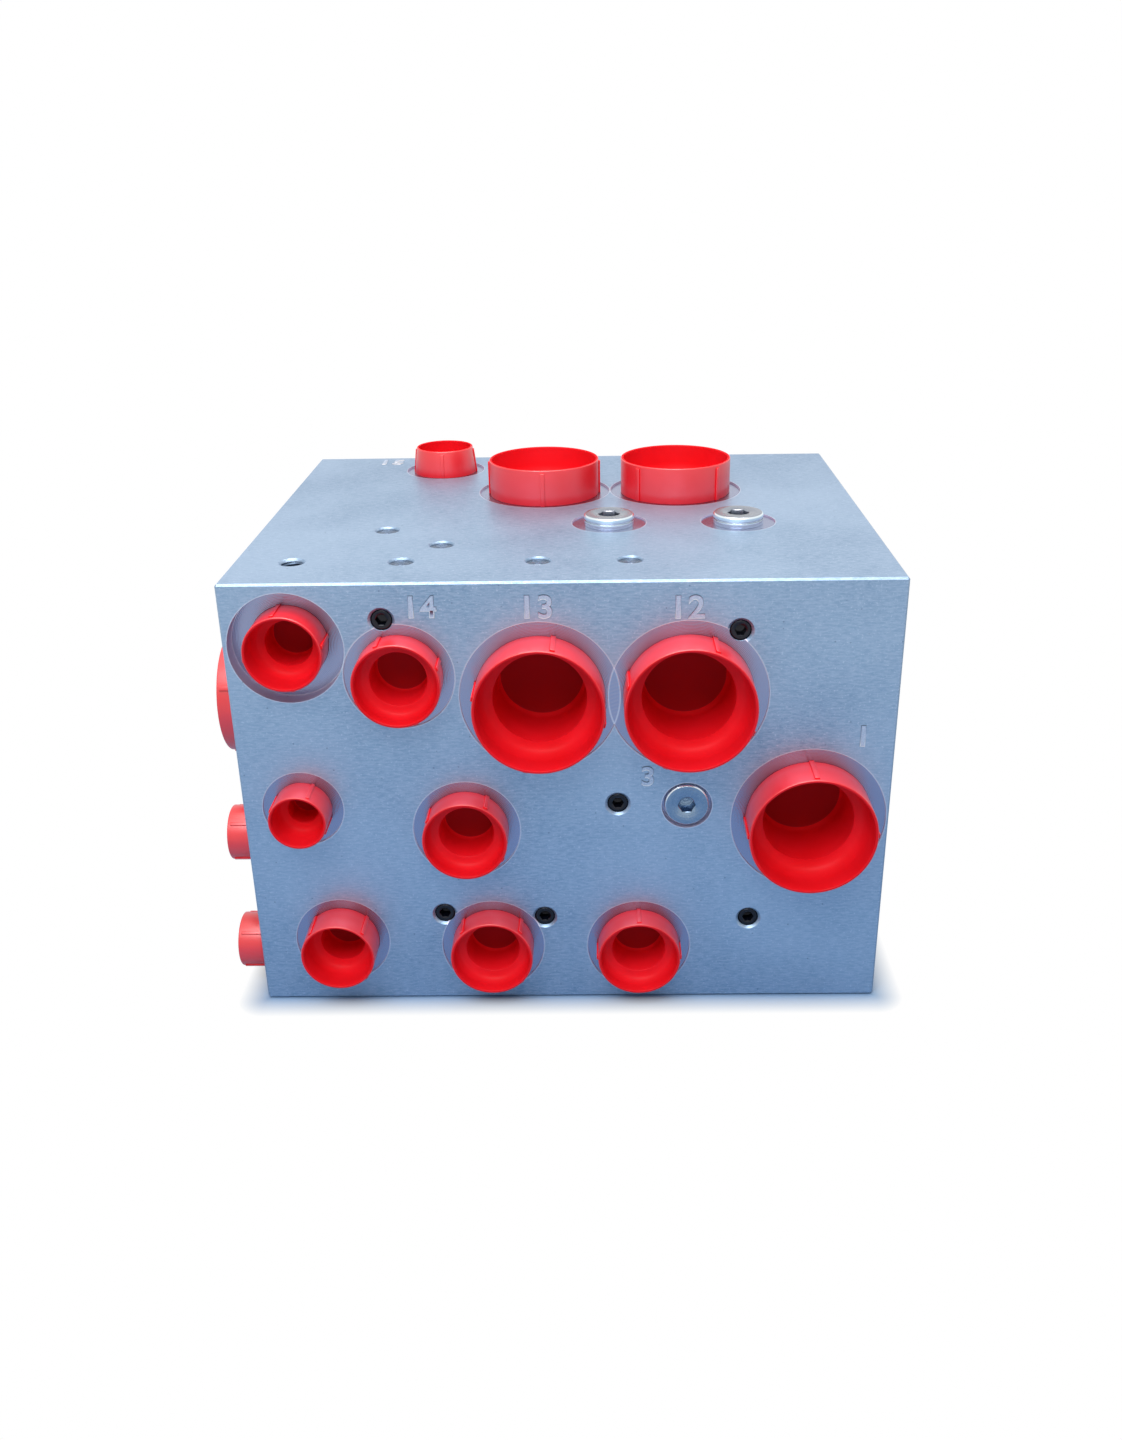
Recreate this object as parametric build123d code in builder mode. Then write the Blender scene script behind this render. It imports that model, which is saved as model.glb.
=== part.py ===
"""Hydraulic manifold block, closed for transport with moulded plastic caps.

A machined aluminium block carries round ports on its front, top and left faces. Each port has a flat
spotface, a threaded bore and a drilled gallery, and each is closed by a push-in cap. The ends of the
drilled galleries are sealed with pipe plugs, flanged plugs and pressed-in expander plugs.

Frame: millimetres, +X right, +Y to the back, +Z up, origin at the centre of the block's bottom face.
Places on a face are measured from the block's left edge and bottom edge (front), from the left edge and
front edge (top), and from the front edge and bottom edge (left).
"""

import os
from dataclasses import dataclass, replace

from build123d import *

# ---------------------------------------------------------------- block
block_width = 250.0
block_depth = 200.0
block_height = 180.0
edge_chamfer = 0.8
spotface_depth = 0.8
drill_tip_slope = 0.6  # height of a drill's cone for each mm of its radius
countersink_slope = 0.577  # the same for the countersink of a hexagon socket

upper_row = block_height  # upper ports and plugs keep their distance from the top edge
middle_row = block_height / 2  # the middle ones keep to the block's mid-height
deep_recess = 7.0  # sunk spotface of the port nearest to the front face's top left corner

# ---------------------------------------------------------------- fits
shank_fit = 0.15  # radial room between a cap's shank or a plug's thread and its bore
press_fit_gap = 0.02  # radial room round a pressed-in or tapered plug, drawn almost closed


# ---------------------------------------------------------------- port and cap sizes
@dataclass
class PortSize:
    """One size of threaded port with the cap that closes it."""

    bore_d: float  # threaded bore, drawn at its core diameter
    bore_depth: float  # from the spotface floor
    gallery_d: float  # drilled passage behind the thread
    head_d: float  # outside of the cap's cup where it meets the spotface
    rim_d: float  # outside of the cap's cup at its open rim
    head_height: float
    cup_wall: float
    shoulder: float  # thickness of the shoulder between the cup and the shank
    funnel: float  # width of the sloping ring between the cup's wall and its shoulder
    shank_wall: float
    shank_length: float
    rib_width: float
    rib_height: float  # how far a grip rib stands out of the cup


large = PortSize(39.2, 32.0, 24.0, 48.8, 48.8, 15.6, 1.2, 1.4, 3.2, 1.8, 24.0, 2.0, 0.7)
medium = PortSize(25.0, 19.0, 16.0, 32.8, 32.8, 10.8, 1.2, 3.0, 2.2, 1.7, 13.0, 1.8, 0.6)
small = PortSize(20.5, 17.0, 10.0, 29.2, 29.2, 13.6, 1.1, 1.2, 2.4, 1.2, 11.5, 1.6, 0.6)
large_tall = replace(large, head_height=17.0)
small_tapered = PortSize(20.5, 17.0, 10.0, 29.4, 26.6, 12.2, 1.1, 1.2, 2.0, 1.2, 11.5, 1.6, 0.5)
mini = PortSize(14.5, 13.0, 8.0, 22.2, 22.2, 12.6, 1.1, 1.2, 2.0, 1.3, 9.5, 1.5, 0.5)

rib_count = 4
rib_stop = 1.2  # a rib ends this far below the rim
rib_root = 0.4  # a rib starts this far inside the cup's surface
shank_chamfer = 0.8


@dataclass
class Port:
    """A capped port: where it is, its size, its spotface, its gallery and how its cap is turned."""

    face: str
    across: float
    up: float
    size: PortSize
    spotface_d: float
    gallery_depth: float
    cap_turn: float  # degrees clockwise from the top of the face to the first rib
    recess: float = spotface_depth


ports = {
    "cap_front_1": Port("front", 23.3, upper_row - 25.0, small, 43.0, 62.0, -10.0, recess=deep_recess),
    "cap_front_2": Port("front", 64.3, upper_row - 36.6, medium, 41.4, 70.0, -23.0),
    "cap_front_3": Port("front", 116.2, upper_row - 45.5, large, 60.0, 115.0, 13.0),
    "cap_front_4": Port("front", 171.7, upper_row - 45.5, large, 60.0, 115.0, 22.0),
    "cap_front_5": Port("front", 23.3, middle_row - 1.5, mini, 31.4, 35.0, 25.0),
    "cap_front_6": Port("front", 86.3, middle_row - 11.3, medium, 41.8, 90.0, 31.0),
    "cap_front_7": Port("front", 218.9, middle_row - 7.8, large, 60.0, 110.0, 0.0),
    "cap_front_8": Port("front", 33.6, 28.3, small, 37.8, 60.0, 45.0),
    "cap_front_9": Port("front", 94.5, 25.3, medium, 41.4, 90.0, 45.0),
    "cap_front_10": Port("front", 153.4, 24.8, medium, 41.4, 90.0, 0.0),
    "cap_top_1": Port("top", 65.5, 174.0, small_tapered, 37.0, 70.0, 0.0),
    "cap_top_2": Port("top", 114.7, 130.5, large, 58.4, 62.0, 0.0),
    "cap_top_3": Port("top", 173.5, 131.0, large, 58.4, 62.0, 45.0),
    "cap_left_1": Port("left", 59.0, upper_row - 66.8, large_tall, 58.4, 62.0, 64.0),
    "cap_left_2": Port("left", 22.0, middle_row - 23.5, mini, 31.4, 50.0, 45.0),
    "cap_left_3": Port("left", 17.0, 18.0, mini, 31.4, 19.0, 45.0),
}

# ---------------------------------------------------------------- taper pipe plugs, black
pipe_plug_d = 8.1
pipe_plug_taper = 0.5  # loss of diameter over the plug's length
pipe_plug_length = 7.9
pipe_plug_sink = 0.9  # the plug's face lies this far below the block's face
pipe_plug_hex = 4.0
pipe_plug_hex_depth = 4.4
pipe_plug_hex_mouth = 0.5  # how far the socket's countersink reaches past the hexagon's flats
pipe_plug_chamfer = 0.4
pipe_hole_mouth_d = 10.0
pipe_drill_d = 5.5

pipe_plugs = {  # name: across, up, depth of the drilling on the front face
    "pipe_plug_1": (59.3, upper_row - 14.4, 60.0),
    "pipe_plug_2": (190.1, upper_row - 19.7, 80.0),
    "pipe_plug_3": (145.2, middle_row - 0.4, 90.0),
    "pipe_plug_4": (75.6, 40.3, 90.0),
    "pipe_plug_5": (115.7, 38.5, 90.0),
    "pipe_plug_6": (197.3, 37.4, 110.0),
}


# ---------------------------------------------------------------- flanged plugs, zinc plated
@dataclass
class FlangedPlugSize:
    """A hexagon socket plug with a flange and a captive seal ring under it."""

    flange_d: float
    flange_height: float
    shank_d: float
    shank_length: float
    hex_size: float
    hex_depth: float
    spotface_d: float
    recess: float


flush_plug = FlangedPlugSize(17.3, 3.6, 10.4, 11.0, 6.0, 5.5, 19.5, 3.7)
proud_plug = FlangedPlugSize(20.6, 4.5, 14.3, 11.0, 8.0, 6.0, 30.7, 0.6)
flanged_hex_mouth = 0.8  # how far the socket's countersink reaches past the hexagon's flats

flange_chamfer = 0.5
flange_groove_width = 0.5
flange_groove_depth = 0.5
seal_width = 1.3
seal_height = 1.2
seal_edge = 1.1  # metal left outside the seal ring
flanged_hole_extra = 2.0  # thread depth below the plug's end
flanged_drill_d = 8.0

flanged_plugs = {  # name: face, across, up, size, depth of the drilling
    "flanged_plug_front": ("front", 171.8, middle_row - 1.3, flush_plug, 100.0),
    "flanged_plug_top_1": ("top", 143.1, 76.8, proud_plug, 80.0),
    "flanged_plug_top_2": ("top", 196.3, 76.8, proud_plug, 80.0),
}

# ---------------------------------------------------------------- expander plugs, pressed in
expander_d = 9.0
expander_length = 8.5
expander_floor = 1.6
expander_core_d = 5.8
expander_core_taper = 0.3
expander_chamfer = 0.3
expander_sink = 0.7
expander_mouth_d = 10.3
expander_drill_d = 5.6

expander_plugs = {  # name suffix: across, up, depth of the drilling on the top face
    "1": (52.7, 68.5, 72.0),
    "2": (77.1, 47.3, 80.0),
    "3": (64.1, 25.5, 42.0),
    "4": (115.8, 25.1, 50.0),
    "5": (150.5, 25.2, 46.0),
}

# ---------------------------------------------------------------- open threads, drawn at core diameter
lifting_thread_at = (22.7, 26.2)  # across and up on the top face
lifting_thread_d = 8.5
lifting_thread_depth = 16.0
lifting_mouth_d = 10.4

mounting_spacing_x = 210.0
mounting_spacing_y = 120.0
mounting_centre_y = 15.0
mounting_thread_d = 10.2
mounting_thread_depth = 24.0
mounting_mouth_d = 12.2


# ---------------------------------------------------------------- helpers
def face_plane(face, across, up, lift=0.0):
    """Plane on a face of the block with its normal pointing out, moved out by lift."""
    left = -block_width / 2
    front = -block_depth / 2
    if face == "front":
        origin = (left + across, front - lift, up)
        return Plane(origin=origin, x_dir=(1, 0, 0), z_dir=(0, -1, 0))
    if face == "top":
        origin = (left + across, front + up, block_height + lift)
        return Plane(origin=origin, x_dir=(1, 0, 0), z_dir=(0, 0, 1))
    if face == "left":
        origin = (left - lift, front + across, up)
        return Plane(origin=origin, x_dir=(0, -1, 0), z_dir=(-1, 0, 0))
    origin = (across, up, -lift)  # bottom, measured from the block's centre
    return Plane(origin=origin, x_dir=(1, 0, 0), z_dir=(0, 0, -1))


def half_section(seat):
    """Plane that holds a feature's axis: local X is the radius, local Y points out of the face."""
    return Plane(origin=seat.origin, x_dir=seat.x_dir, z_dir=-seat.y_dir)


def spun(seat, angle):
    """The same plane with its local X direction turned by angle degrees about its normal."""
    x_dir = seat.x_dir.rotate(Axis((0, 0, 0), seat.z_dir), angle)
    return Plane(origin=seat.origin, x_dir=x_dir, z_dir=seat.z_dir)


def turned(seat, outline, mode=Mode.ADD):
    """Turn a closed outline of (radius, height) points about the normal of seat."""
    with BuildSketch(half_section(seat)) as section:
        with BuildLine():
            Polyline(*outline, close=True)
        make_face()
    revolve(section.sketch, axis=Axis(seat.origin, seat.z_dir), mode=mode)


def drilled(radius, depth):
    """Last two points of a bore's outline: a drilled wall's end and the tip of its cone."""
    return [(radius, -depth), (0, -depth - radius * drill_tip_slope)]


def cut_port(port):
    """Spotface, threaded bore and gallery of a capped port."""
    seat = face_plane(port.face, port.across, port.up)
    spot_r = port.spotface_d / 2
    bore_r = port.size.bore_d / 2
    gallery_r = port.size.gallery_d / 2
    bore_end = port.recess + port.size.bore_depth
    cone = (bore_r - gallery_r) * drill_tip_slope
    outline = [
        (0, 1),
        (spot_r, 1),
        (spot_r, -port.recess),
        (bore_r, -port.recess),
        (bore_r, -bore_end),
        (gallery_r, -bore_end - cone),
    ]
    if port.gallery_depth > bore_end + cone:
        outline += drilled(gallery_r, port.gallery_depth)
    else:
        outline += [(0, -bore_end - bore_r * drill_tip_slope)]
    turned(seat, outline, Mode.SUBTRACT)


def cut_pipe_plug_hole(across, up, depth):
    """Tapered plug hole with a chamfered mouth and the drilling behind it."""
    seat = face_plane("front", across, up)
    top_r = pipe_plug_d / 2 + press_fit_gap
    end_r = top_r - pipe_plug_taper / 2
    end = pipe_plug_sink + pipe_plug_length
    mouth_r = pipe_hole_mouth_d / 2
    outline = [
        (0, 1),
        (mouth_r, 1),
        (mouth_r, 0),
        (top_r, -pipe_plug_sink),
        (end_r, -end),
        (pipe_drill_d / 2, -end),
    ]
    turned(seat, outline + drilled(pipe_drill_d / 2, depth), Mode.SUBTRACT)


def cut_flanged_plug_hole(face, across, up, size, depth):
    """Spotface or counterbore, thread and drilling of a flanged plug."""
    seat = face_plane(face, across, up)
    spot_r = size.spotface_d / 2
    thread_r = size.shank_d / 2 + shank_fit
    end = size.recess + size.shank_length + flanged_hole_extra
    drill_r = flanged_drill_d / 2
    outline = [
        (0, 1),
        (spot_r, 1),
        (spot_r, -size.recess),
        (thread_r, -size.recess),
        (thread_r, -end),
        (drill_r, -end - (thread_r - drill_r) * drill_tip_slope),
    ]
    turned(seat, outline + drilled(drill_r, depth), Mode.SUBTRACT)


def cut_expander_hole(across, up, depth):
    """Stepped hole that an expander plug is pressed into."""
    seat = face_plane("top", across, up)
    hole_r = expander_d / 2 + press_fit_gap
    end = expander_sink + expander_length
    outline = [
        (0, 1),
        (expander_mouth_d / 2, 1),
        (expander_mouth_d / 2, 0),
        (hole_r, -expander_sink),
        (hole_r, -end),
        (expander_drill_d / 2, -end),
    ]
    turned(seat, outline + drilled(expander_drill_d / 2, depth), Mode.SUBTRACT)


def cut_blind_thread(seat, core_d, depth, mouth_d):
    """Open blind thread with a countersunk mouth."""
    core_r = core_d / 2
    mouth_r = mouth_d / 2
    outline = [(0, 1), (mouth_r, 1), (mouth_r, 0), (core_r, -(mouth_r - core_r))]
    turned(seat, outline + drilled(core_r, depth), Mode.SUBTRACT)


def cut_hex_socket(seat, size, depth, mouth):
    """Hexagon socket with a countersunk mouth; mouth is the countersink's reach past the flats."""
    with BuildSketch(seat) as hexagon:
        RegularPolygon(size / 2, 6, major_radius=False)
    extrude(hexagon.sketch, amount=-depth, mode=Mode.SUBTRACT)
    mouth_r = size / 2 + mouth
    turned(seat, [(0, 0), (mouth_r, 0), (0, -mouth_r * countersink_slope)], Mode.SUBTRACT)


def finish(part, name):
    """Label a finished piece and write it."""
    part.label = name
    export_step(part, f"parts/{name}.step")


os.makedirs("parts", exist_ok=True)

# ---------------------------------------------------------------- the block
with BuildPart() as manifold_block:
    with BuildSketch(Plane.XY):
        Rectangle(block_width, block_depth)
    extrude(amount=block_height)
    chamfer(manifold_block.edges(), length=edge_chamfer)
    for capped_port in ports.values():
        cut_port(capped_port)
    for hole in pipe_plugs.values():
        cut_pipe_plug_hole(*hole)
    for hole in flanged_plugs.values():
        cut_flanged_plug_hole(*hole)
    for hole in expander_plugs.values():
        cut_expander_hole(*hole)
    cut_blind_thread(
        face_plane("top", *lifting_thread_at), lifting_thread_d, lifting_thread_depth, lifting_mouth_d
    )
    for side_x in (-1, 1):
        for side_y in (-1, 1):
            corner = (side_x * mounting_spacing_x / 2, mounting_centre_y + side_y * mounting_spacing_y / 2)
            cut_blind_thread(
                face_plane("bottom", *corner), mounting_thread_d, mounting_thread_depth, mounting_mouth_d
            )
finish(manifold_block.part, "manifold_block")


# ---------------------------------------------------------------- the caps
def cap_outline(size):
    """Half section of a cap: open cup above the shoulder, blind shank below it."""
    head_r = size.head_d / 2
    rim_r = size.rim_d / 2
    shank_r = size.bore_d / 2 - shank_fit
    inner_r = shank_r - size.shank_wall
    lean = (head_r - rim_r) / size.head_height
    wall_foot = size.shoulder + size.funnel
    wall_foot_r = head_r - size.cup_wall - lean * wall_foot
    end = -size.shank_length
    return [
        (0, end),
        (shank_r - shank_chamfer, end),
        (shank_r, end + shank_chamfer),
        (shank_r, 0),
        (head_r, 0),
        (rim_r, size.head_height),
        (rim_r - size.cup_wall, size.head_height),
        (wall_foot_r, wall_foot),
        (wall_foot_r - size.funnel, size.shoulder),
        (inner_r, size.shoulder),
        (inner_r, end + size.shank_wall),
        (0, end + size.shank_wall),
    ]


for cap_name, port in ports.items():
    cap_seat = face_plane(port.face, port.across, port.up, -port.recess)
    rib_size = port.size
    rib_length = rib_size.head_height - rib_stop
    rib_foot_r = rib_size.head_d / 2
    rib_tip_r = rib_foot_r - (rib_size.head_d - rib_size.rim_d) / 2 * rib_length / rib_size.head_height
    with BuildPart() as cap:
        turned(cap_seat, cap_outline(rib_size))
        for quarter in range(rib_count):
            angle = 90 - port.cap_turn - quarter * 360 / rib_count
            with BuildSketch(half_section(spun(cap_seat, angle))):
                with BuildLine():
                    Polyline(
                        (rib_foot_r - rib_root, 0),
                        (rib_foot_r + rib_size.rib_height, 0),
                        (rib_tip_r + rib_size.rib_height, rib_length),
                        (rib_tip_r - rib_root, rib_length),
                        close=True,
                    )
                make_face()
            extrude(amount=rib_size.rib_width / 2, both=True)
    finish(cap.part, cap_name)

# ---------------------------------------------------------------- the pipe plugs
for plug_name, (plug_across, plug_up, _) in pipe_plugs.items():
    plug_face = face_plane("front", plug_across, plug_up, -pipe_plug_sink)
    with BuildPart() as pipe_plug:
        top_r = pipe_plug_d / 2
        turned(
            plug_face,
            [
                (0, 0),
                (top_r - pipe_plug_chamfer, 0),
                (top_r, -pipe_plug_chamfer),
                (top_r - pipe_plug_taper / 2, -pipe_plug_length),
                (0, -pipe_plug_length),
            ],
        )
        cut_hex_socket(plug_face, pipe_plug_hex, pipe_plug_hex_depth, pipe_plug_hex_mouth)
    finish(pipe_plug.part, plug_name)

# ---------------------------------------------------------------- the flanged plugs and their seals
for plug_name, (plug_side, plug_across, plug_up, plug_size, _) in flanged_plugs.items():
    flange_seat = face_plane(plug_side, plug_across, plug_up, -plug_size.recess)
    flange_r = plug_size.flange_d / 2
    flange_top = plug_size.flange_height
    shank_r = plug_size.shank_d / 2
    seal_r = flange_r - seal_edge
    groove_r = flange_r - flange_groove_depth
    groove_low = flange_top / 2 - flange_groove_width / 2
    groove_high = flange_top / 2 + flange_groove_width / 2
    with BuildPart() as flanged_plug:
        turned(
            flange_seat,
            [
                (0, flange_top),
                (flange_r - flange_chamfer, flange_top),
                (flange_r, flange_top - flange_chamfer),
                (flange_r, groove_high),
                (groove_r, groove_high),
                (groove_r, groove_low),
                (flange_r, groove_low),
                (flange_r, 0),
                (seal_r, 0),
                (seal_r, seal_height),
                (seal_r - seal_width, seal_height),
                (seal_r - seal_width, 0),
                (shank_r, 0),
                (shank_r, -plug_size.shank_length),
                (0, -plug_size.shank_length),
            ],
        )
        cut_hex_socket(
            flange_seat.offset(flange_top), plug_size.hex_size, plug_size.hex_depth, flanged_hex_mouth
        )
    finish(flanged_plug.part, plug_name)

    with BuildPart() as seal_ring:
        with BuildSketch(flange_seat):
            Circle(seal_r)
            Circle(seal_r - seal_width, mode=Mode.SUBTRACT)
        extrude(amount=seal_height)
    finish(seal_ring.part, plug_name.replace("flanged_plug", "seal_ring"))

# ---------------------------------------------------------------- the expander plugs
for suffix, (plug_across, plug_up, _) in expander_plugs.items():
    plug_face = face_plane("top", plug_across, plug_up, -expander_sink)
    sleeve_r = expander_d / 2
    core_r = expander_core_d / 2
    core_end_r = core_r - expander_core_taper / 2
    core_length = expander_length - expander_floor
    with BuildPart() as expander_sleeve:
        turned(
            plug_face,
            [
                (core_r + press_fit_gap, 0),
                (sleeve_r - expander_chamfer, 0),
                (sleeve_r, -expander_chamfer),
                (sleeve_r, -expander_length),
                (0, -expander_length),
                (0, -core_length),
                (core_end_r + press_fit_gap, -core_length),
            ],
        )
    finish(expander_sleeve.part, f"expander_sleeve_{suffix}")

    with BuildPart() as expander_core:
        turned(plug_face, [(0, 0), (core_r, 0), (core_end_r, -core_length), (0, -core_length)])
    finish(expander_core.part, f"expander_core_{suffix}")
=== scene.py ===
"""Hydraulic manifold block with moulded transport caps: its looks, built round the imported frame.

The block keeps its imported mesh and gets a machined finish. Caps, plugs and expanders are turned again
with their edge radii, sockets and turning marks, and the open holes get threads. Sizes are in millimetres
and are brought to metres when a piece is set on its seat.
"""

import math
from dataclasses import dataclass, replace

import bmesh
import bpy
from mathutils import Matrix, Vector


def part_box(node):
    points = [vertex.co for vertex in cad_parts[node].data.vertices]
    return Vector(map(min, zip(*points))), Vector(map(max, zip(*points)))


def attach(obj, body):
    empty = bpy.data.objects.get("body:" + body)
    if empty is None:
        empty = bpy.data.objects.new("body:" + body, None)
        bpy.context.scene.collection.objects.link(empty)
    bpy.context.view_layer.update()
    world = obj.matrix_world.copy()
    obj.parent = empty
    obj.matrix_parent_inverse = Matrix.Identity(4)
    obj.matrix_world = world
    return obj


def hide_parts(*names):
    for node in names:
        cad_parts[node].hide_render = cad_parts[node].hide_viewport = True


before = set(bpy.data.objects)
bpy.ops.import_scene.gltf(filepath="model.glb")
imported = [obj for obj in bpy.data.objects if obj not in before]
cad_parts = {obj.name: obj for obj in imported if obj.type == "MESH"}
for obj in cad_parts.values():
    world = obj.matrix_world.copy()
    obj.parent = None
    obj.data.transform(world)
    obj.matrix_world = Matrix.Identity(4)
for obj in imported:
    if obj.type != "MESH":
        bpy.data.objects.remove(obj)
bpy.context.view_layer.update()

MM = 0.001
FULL_TURN = 2 * math.pi
scene = bpy.context.scene
scene.view_settings.view_transform = "Standard"


# ---------------------------------------------------------------- camera
lens_place = Vector((0.012857, -0.538045, 0.323935))
lens_forward = Vector((-0.0131, 0.9179, -0.3966)).normalized()
lens_right = Vector((0.9999, 0.0083, -0.0138))
lens_up = lens_right.cross(lens_forward).normalized()
lens_right = lens_forward.cross(lens_up)

camera_data = bpy.data.cameras.new("camera")
camera_data.sensor_width = 36.0
camera_data.lens = 32.06
camera_data.shift_x = -0.01397
camera_data.shift_y = -0.01589
camera_data.clip_start = 0.01
camera = bpy.data.objects.new("camera", camera_data)
camera.matrix_world = Matrix.Translation(lens_place) @ Matrix(
    (lens_right, lens_up, -lens_forward)
).transposed().to_4x4()
scene.collection.objects.link(camera)
scene.camera = camera


# ---------------------------------------------------------------- faces of the block
block_low, block_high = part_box("manifold_block")
FACE_AXES = {  # across, up and outward directions of each face
    "front": (Vector((1, 0, 0)), Vector((0, 0, 1)), Vector((0, -1, 0))),
    "top": (Vector((1, 0, 0)), Vector((0, 1, 0)), Vector((0, 0, 1))),
    "left": (Vector((0, -1, 0)), Vector((0, 0, 1)), Vector((-1, 0, 0))),
    "bottom": (Vector((1, 0, 0)), Vector((0, -1, 0)), Vector((0, 0, -1))),
}


def seat_at(face, place):
    """Matrix of a seat on a face: local Z points out of the block and place is its centre, in metres."""
    across, up, out = FACE_AXES[face]
    return Matrix.Translation(place) @ Matrix((across, up, out)).transposed().to_4x4()


def block_reach(face):
    """How far the block reaches along a face's outward direction."""
    out = FACE_AXES[face][2]
    return max(block_low.dot(out), block_high.dot(out))


def seat_under(face, node, height):
    """Seat whose centre lies on a node's axis, height millimetres below the node's outermost plane."""
    low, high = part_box(node)
    out = FACE_AXES[face][2]
    outermost = max(low.dot(out), high.dot(out))
    centre = (low + high) / 2
    return seat_at(face, centre + out * (outermost - centre.dot(out) - height * MM))


# ---------------------------------------------------------------- shader graphs
class Wire:
    """An output socket of a finish's nodes, with arithmetic that adds Math nodes."""

    def __init__(self, finish, socket):
        self.finish = finish
        self.socket = socket

    def math(self, operation, *others):
        return self.finish.node(
            "ShaderNodeMath", {"operation": operation}, dict(enumerate((self, *others)))
        )

    def __add__(self, other):
        return self.math("ADD", other)

    def __sub__(self, other):
        return self.math("SUBTRACT", other)

    def __mul__(self, other):
        return self.math("MULTIPLY", other)

    def __gt__(self, other):
        return self.math("GREATER_THAN", other)

    def __lt__(self, other):
        return self.math("LESS_THAN", other)

    def __rsub__(self, other):
        return self.finish.node("ShaderNodeMath", {"operation": "SUBTRACT"}, {0: other, 1: self})

    __radd__ = __add__
    __rmul__ = __mul__

    def sine(self):
        return self.math("SINE")

    def clamped(self):
        return self.finish.node("ShaderNodeClamp", {}, {"Value": self})


class Finish:
    """The node tree of a material, or of the world."""

    def __init__(self, owner):
        owner.use_nodes = True
        self.owner = owner
        self.tree = owner.node_tree
        self.tree.nodes.clear()

    def node(self, kind, settings, sockets, output=0):
        """Add a node: its settings first, then the values and links of its sockets."""
        node = self.tree.nodes.new(kind)
        for name, value in settings.items():
            setattr(node, name, value)
        for key, value in sockets.items():
            if isinstance(value, Wire):
                self.tree.links.new(value.socket, node.inputs[key])
            else:
                node.inputs[key].default_value = value
        return Wire(self, node.outputs[output]) if len(node.outputs) else None

    def place(self):
        """Object coordinates in metres."""
        return self.node("ShaderNodeTexCoord", {}, {}, "Object")

    def surface(self):
        """Direction in which the surface faces."""
        return self.node("ShaderNodeNewGeometry", {}, {}, "Normal")

    def attribute(self, name, output="Vector"):
        return self.node("ShaderNodeAttribute", {"attribute_name": name}, {}, output)

    def mapped(self, vector, scale, rotation=(0, 0, 0)):
        return self.node(
            "ShaderNodeMapping", {}, {"Vector": vector, "Rotation": rotation, "Scale": scale}
        )

    def vector(self, operation, *values, output=0):
        return self.node(
            "ShaderNodeVectorMath", {"operation": operation}, dict(enumerate(values)), output
        )

    def dot(self, first, second):
        return self.vector("DOT_PRODUCT", first, second, output="Value")

    def length(self, vector):
        return self.vector("LENGTH", vector, output="Value")

    def scaled(self, vector, factor):
        return self.node(
            "ShaderNodeVectorMath", {"operation": "SCALE"}, {0: vector, "Scale": factor}
        )

    def noise(self, vector, size, detail=2.0, roughness=0.5):
        """Noise whose blotches are about size millimetres across."""
        return self.node(
            "ShaderNodeTexNoise",
            {},
            {"Vector": vector, "Scale": 1 / (size * MM), "Detail": detail, "Roughness": roughness},
        )

    def cells(self, vector, size):
        """Distance to the nearest of scattered points, in cells of about size millimetres."""
        return self.node(
            "ShaderNodeTexVoronoi", {}, {"Vector": vector, "Scale": 1 / (size * MM)}, "Distance"
        )

    def ramp(self, factor, low, high, at_low=0.0, at_high=1.0):
        """Straight change from at_low to at_high while factor goes from low to high."""
        return self.node(
            "ShaderNodeMapRange",
            {},
            {"Value": factor, "From Min": low, "From Max": high, "To Min": at_low, "To Max": at_high},
        )

    def blend(self, factor, first, second):
        """Colour between first and second."""
        return self.node(
            "ShaderNodeMix", {"data_type": "RGBA"}, {0: factor, 6: first, 7: second}, 2
        )

    def bump(self, height, distance, strength=1.0, normal=None):
        sockets = {"Height": height, "Distance": distance * MM, "Strength": strength}
        if normal is not None:
            sockets["Normal"] = normal
        return self.node("ShaderNodeBump", {}, sockets)

    def principled(self, **sockets):
        """Close the tree with a Principled shader; names use _ for a space."""
        shader = self.node(
            "ShaderNodeBsdfPrincipled",
            {},
            {name.replace("_", " "): value for name, value in sockets.items()},
        )
        return self.output(shader)

    def output(self, shader):
        self.node("ShaderNodeOutputMaterial", {}, {"Surface": shader})
        return self.owner


def new_finish(name):
    """An empty finish of a new material."""
    return Finish(bpy.data.materials.new(name))


def srgb(red, green, blue):
    """Linear colour of an 8-bit display colour."""
    channels = [
        value / 255 / 12.92 if value / 255 < 0.04045 else ((value / 255 + 0.055) / 1.055) ** 2.4
        for value in (red, green, blue)
    ]
    return (*channels, 1.0)


# ---------------------------------------------------------------- finishes
BLOCK_SEATS = {  # ports and plugs with a turned seat: face and radius of the seat in millimetres
    "cap_front_1": ("front", 21.5),
    "cap_front_2": ("front", 20.7),
    "cap_front_3": ("front", 30.0),
    "cap_front_4": ("front", 30.0),
    "cap_front_5": ("front", 15.7),
    "cap_front_6": ("front", 20.9),
    "cap_front_7": ("front", 30.0),
    "cap_front_8": ("front", 18.9),
    "cap_front_9": ("front", 20.7),
    "cap_front_10": ("front", 20.7),
    "flanged_plug_front": ("front", 9.75),
    "cap_top_1": ("top", 18.5),
    "cap_top_2": ("top", 29.2),
    "cap_top_3": ("top", 29.2),
    "flanged_plug_top_1": ("top", 15.35),
    "flanged_plug_top_2": ("top", 15.35),
    "cap_left_1": ("left", 29.2),
    "cap_left_2": ("left", 15.7),
    "cap_left_3": ("left", 15.7),
}


SEAT_WALL_REACH = 9.0  # millimetres below a face within which a seat's side wall lies
RING_PERIOD = 0.55  # millimetres between the turning marks of a seat


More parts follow.
